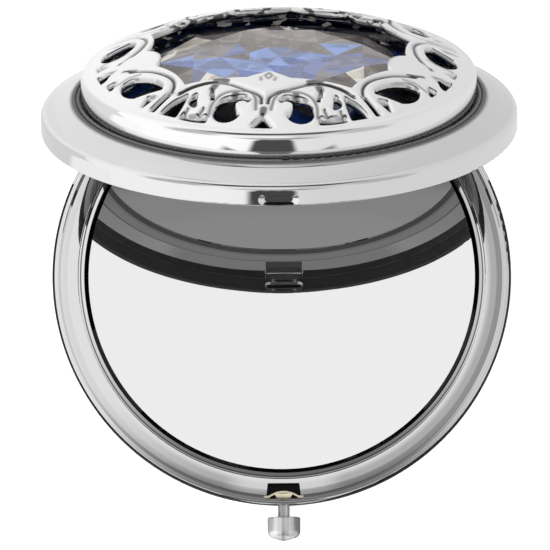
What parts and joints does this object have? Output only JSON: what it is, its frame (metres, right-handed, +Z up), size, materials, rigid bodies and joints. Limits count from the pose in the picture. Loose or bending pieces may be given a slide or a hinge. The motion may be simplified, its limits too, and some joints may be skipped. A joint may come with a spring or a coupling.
{
  "type": "compact mirror",
  "caption": "Round hinged pocket compact with a mirror in each half, a front push latch and a pierced scrollwork cover over a faceted stone on the lid.",
  "frame": {"origin": "centre of the base's flat underside, where the compact rests", "axes": "+Z up out of the base mirror, +Y to the hinge at the back, -Y to the push button at the front, +X to the right seen from above with the hinge at the top"},
  "size_m": [0.07, 0.0798, 0.0682],
  "materials": {
    "plated_case": "bright polished plating",
    "plated_bezel": "bright polished plating",
    "plated_hinge": "polished plating",
    "plated_filigree": "bright polished casting",
    "silvered_glass": "silvered float glass",
    "foam_adhesive": "black foam tape",
    "pin_steel": "ground steel",
    "spring_brass": "rolled spring strip",
    "hook_brass": "pale polished brass",
    "satin_steel": "satin turned steel",
    "adhesive_tape": "double-sided tape",
    "dark_tray": "dark lacquer",
    "clear_cement": "cured clear cement",
    "stone_foil": "coloured reflective foil",
    "stone_glass": "cut and polished"
  },
  "bodies": {
    "base": {"base_shell": "plated_case", "base_mirror": "silvered_glass", "base_mirror_pad": "foam_adhesive", "base_mirror_bezel": "plated_bezel", "base_hinge_leaf": "plated_hinge", "hinge_pin": "pin_steel", "latch_spring": "spring_brass"},
    "latch": {"latch_hook": "hook_brass", "latch_shaft": "satin_steel", "push_button_cap": "satin_steel"},
    "lid": {"lid_shell": "plated_case", "lid_mirror": "silvered_glass", "lid_mirror_pad": "foam_adhesive", "lid_mirror_bezel": "plated_bezel", "lid_hinge_leaf": "plated_hinge", "ornament_tape": "adhesive_tape", "ornament_tray": "dark_tray", "stone_cement": "clear_cement", "stone_foil": "stone_foil", "stone": "stone_glass", "filigree_cover": "plated_filigree"}
  },
  "joints": [
    {"name": "lid_hinge", "type": "hinge", "parent": "base", "child": "lid", "pos_m": [0, 0.0342, 0.005], "axis": [-1, 0, 0], "range_deg": [-63.8, 51.2]},
    {"name": "button_press", "type": "slide", "parent": "base", "child": "latch", "axis": [0, 1, 0], "range_m": [0, 0.001], "stiffness_N_per_m": 800, "springref_m": -0.0005, "deforming": ["latch_spring"]}
  ]
}
